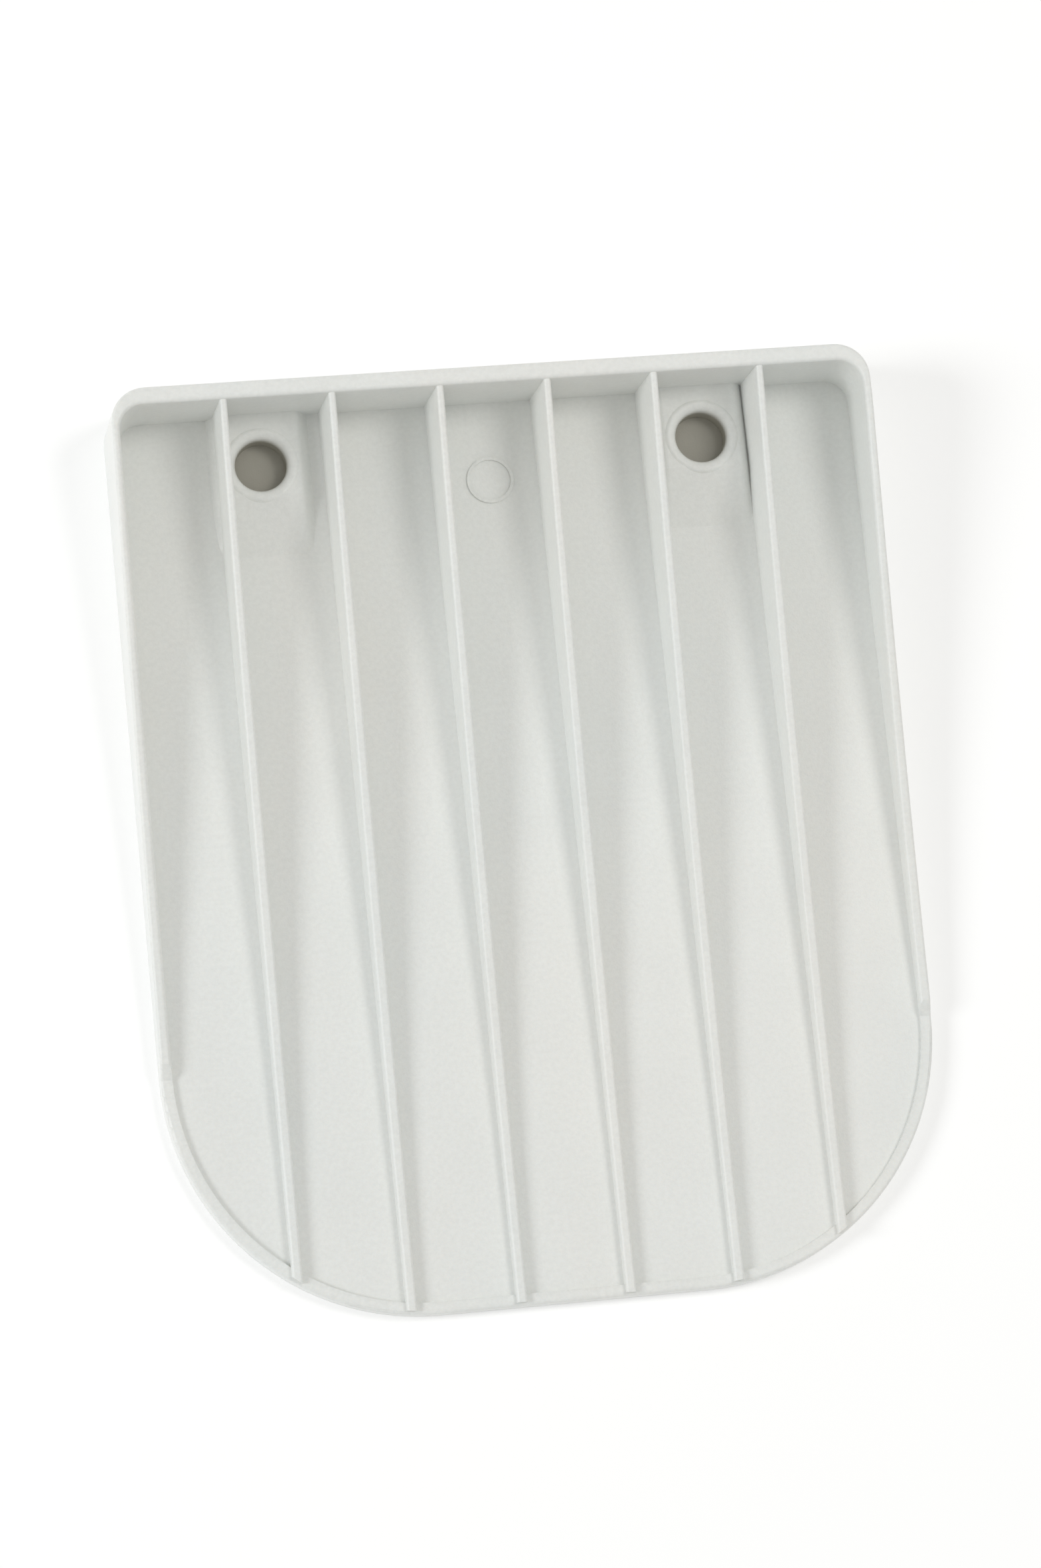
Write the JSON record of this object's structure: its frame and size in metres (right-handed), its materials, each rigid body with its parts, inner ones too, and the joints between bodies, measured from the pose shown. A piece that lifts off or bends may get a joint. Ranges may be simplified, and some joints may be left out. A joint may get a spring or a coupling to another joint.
{
  "type": "diving board",
  "caption": "Small D-shaped diving board moulded as one ribbed plastic plate, with a tall root wall, swept side walls and blind peg bosses near the root.",
  "frame": {"origin": "middle of the flat deck face, which the board lies on with its ribs up", "axes": "+Y towards the tall root wall and the peg bosses, +X across the board, +Z out of the ribbed side; in use the board is turned over, deck face up"},
  "size_m": [0.11, 0.1326, 0.0135],
  "materials": {
    "board": "fine spark-eroded grain"
  },
  "bodies": {
    "root": {"board": "board"}
  },
  "joints": []
}
